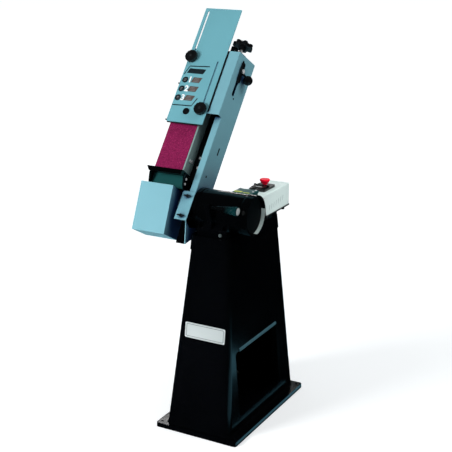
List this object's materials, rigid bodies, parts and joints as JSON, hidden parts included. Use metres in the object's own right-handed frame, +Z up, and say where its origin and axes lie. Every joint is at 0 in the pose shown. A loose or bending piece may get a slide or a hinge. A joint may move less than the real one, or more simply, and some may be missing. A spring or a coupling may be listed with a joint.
{
  "type": "belt disc sander",
  "caption": "Pedestal belt and disc sander: tilting belt arm with sliding belt guard, small work rest and dust box, motor across the top with a disc in a guard cup, and a switch box.",
  "frame": {"origin": "centre of the base plate's underside, on the floor", "axes": "+Z up, -Y towards the operator, +X along the motor axis from the belt arm to the disc"},
  "size_m": [0.4813, 0.6395, 1.5005],
  "materials": {
    "stand_paint": "gloss black enamel",
    "motor_paint": "gloss black",
    "zinc_steel": "bright zinc",
    "bearing_steel": "ground",
    "lamination": "stacked sheet",
    "winding": "varnished copper wire",
    "grey_cover": "satin grey-green",
    "switch_grey": "satin light grey",
    "black_plastic": "moulded black",
    "cable_rubber": "matt",
    "drum_rubber": "ground rubber",
    "aluminium": "machined",
    "abrasive_black": "silicon carbide grit",
    "abrasive_red": "maroon grit on cloth",
    "arm_blue": "satin light blue enamel",
    "guard_blue": "satin light blue enamel",
    "platen_grey": "satin grey-green",
    "platen_steel": "graphite-worn steel",
    "stop_red": "gloss red",
    "start_green": "gloss green",
    "flap_grey": "light grey frame"
  },
  "bodies": {
    "stand": {"base_plate": "stand_paint", "stand_column": "stand_paint", "stand_cap": "stand_paint", "motor_cradle": "stand_paint", "stand_bolts": "zinc_steel", "motor_housing": "motor_paint", "drive_end_shield": "motor_paint", "rear_end_shield": "motor_paint", "motor_bearings": "bearing_steel", "stator_core": "lamination", "stator_windings": "winding", "disc_guard_cup": "motor_paint", "terminal_box": "grey_cover", "terminal_box_lid": "grey_cover", "switch_box_shell": "switch_grey", "switch_box_base": "black_plastic", "switch_body": "black_plastic", "motor_cable": "cable_rubber", "small_screws": "zinc_steel"},
    "rotor": {"motor_shaft": "zinc_steel", "rotor_core": "lamination", "drive_drum": "aluminium", "drum_rubber": "drum_rubber", "disc_plate": "aluminium", "sanding_disc": "abrasive_black"},
    "arm": {"arm_panel": "arm_blue", "pivot_plate": "motor_paint", "upper_cover": "arm_blue", "rod_bracket": "motor_paint", "lower_panel": "arm_blue", "wing_screws": "black_plastic", "arm_end_plate": "motor_paint", "arm_hub": "aluminium", "dust_box": "arm_blue", "platen_mount": "motor_paint", "platen_frame": "platen_grey", "platen": "platen_steel", "arm_screws": "zinc_steel", "sanding_belt": "abrasive_red", "work_table": "motor_paint", "table_brackets": "motor_paint", "lower_belt_guard": "grey_cover", "rear_belt_guard": "arm_blue", "tension_spring": "bearing_steel"},
    "carriage": {"tension_carriage": "aluminium", "idler_shaft": "zinc_steel"},
    "idler": {"idler_roller": "aluminium", "idler_bearings": "bearing_steel"},
    "tracking_lever": {"tracking_lever": "black_plastic", "lever_knob": "black_plastic"},
    "star_knob": {"star_knob": "black_plastic", "tension_rod": "zinc_steel"},
    "belt_guard": {"guard_plate": "guard_blue", "guard_plug": "black_plastic"},
    "guard_knob_upper": {"guard_knob_upper": "black_plastic"},
    "guard_knob_lower": {"guard_knob_lower": "black_plastic"},
    "clamp_handle": {"clamp_handle": "black_plastic"},
    "stop_button": {"stop_button": "stop_red"},
    "start_button": {"start_button": "start_green"},
    "switch_flap": {"switch_flap": "flap_grey"}
  },
  "joints": [
    {"name": "rotor_spin", "type": "hinge", "parent": "stand", "child": "rotor", "pos_m": [0, -0.07, 0.82], "axis": [1, 0, 0], "continuous": true},
    {"name": "arm_tilt", "type": "hinge", "parent": "stand", "child": "arm", "pos_m": [0, -0.07, 0.82], "axis": [1, 0, 0], "range_deg": [-51.5, 38.5]},
    {"name": "star_knob_turn", "type": "hinge", "parent": "arm", "child": "star_knob", "pos_m": [-0.112, 0.28145, 1.35822], "axis": [0, 0.6225, 0.7826], "range_deg": [-1441, 0]},
    {"name": "tension_slide", "type": "slide", "parent": "arm", "child": "carriage", "axis": [0, 0.6225, 0.7826], "range_m": [-0.008, 0]},
    {"name": "idler_spin", "type": "hinge", "parent": "carriage", "child": "idler", "pos_m": [0, 0.23528, 1.2825], "axis": [1, 0, 0], "continuous": true},
    {"name": "tracking_turn", "type": "hinge", "parent": "carriage", "child": "tracking_lever", "pos_m": [0, 0.23528, 1.2825], "axis": [1, 0, 0], "range_deg": [-12, 12]},
    {"name": "guard_slide", "type": "slide", "parent": "arm", "child": "belt_guard", "axis": [0, 0.6225, 0.7826], "range_m": [-0.165, 0]},
    {"name": "guard_knob_upper_turn", "type": "hinge", "parent": "arm", "child": "guard_knob_upper", "pos_m": [-0.286, 0.20408, 1.32521], "axis": [0, 0.7826, -0.6225], "range_deg": [0, 180]},
    {"name": "guard_knob_lower_turn", "type": "hinge", "parent": "arm", "child": "guard_knob_lower", "pos_m": [-0.17, 0.06837, 1.1546], "axis": [0, 0.7826, -0.6225], "range_deg": [0, 180]},
    {"name": "clamp_turn", "type": "hinge", "parent": "stand", "child": "clamp_handle", "pos_m": [0, -0.16, 0.856], "axis": [1, 0, 0], "range_deg": [-90, 0]},
    {"name": "stop_press", "type": "slide", "parent": "stand", "child": "stop_button", "axis": [0, 0, 1], "range_m": [-0.003, 0]},
    {"name": "start_press", "type": "slide", "parent": "stand", "child": "start_button", "axis": [0, 0, 1], "range_m": [-0.003, 0]},
    {"name": "flap_open", "type": "hinge", "parent": "stand", "child": "switch_flap", "pos_m": [0.029, 0.183, 0.861], "axis": [1, 0, 0], "range_deg": [-70, 0]}
  ],
  "couplings": [
    {"joint": "star_knob_turn", "follows": "tension_slide", "rad_per_m": 3141.6},
    {"joint": "idler_spin", "follows": "rotor_spin", "ratio": 2.8846}
  ]
}
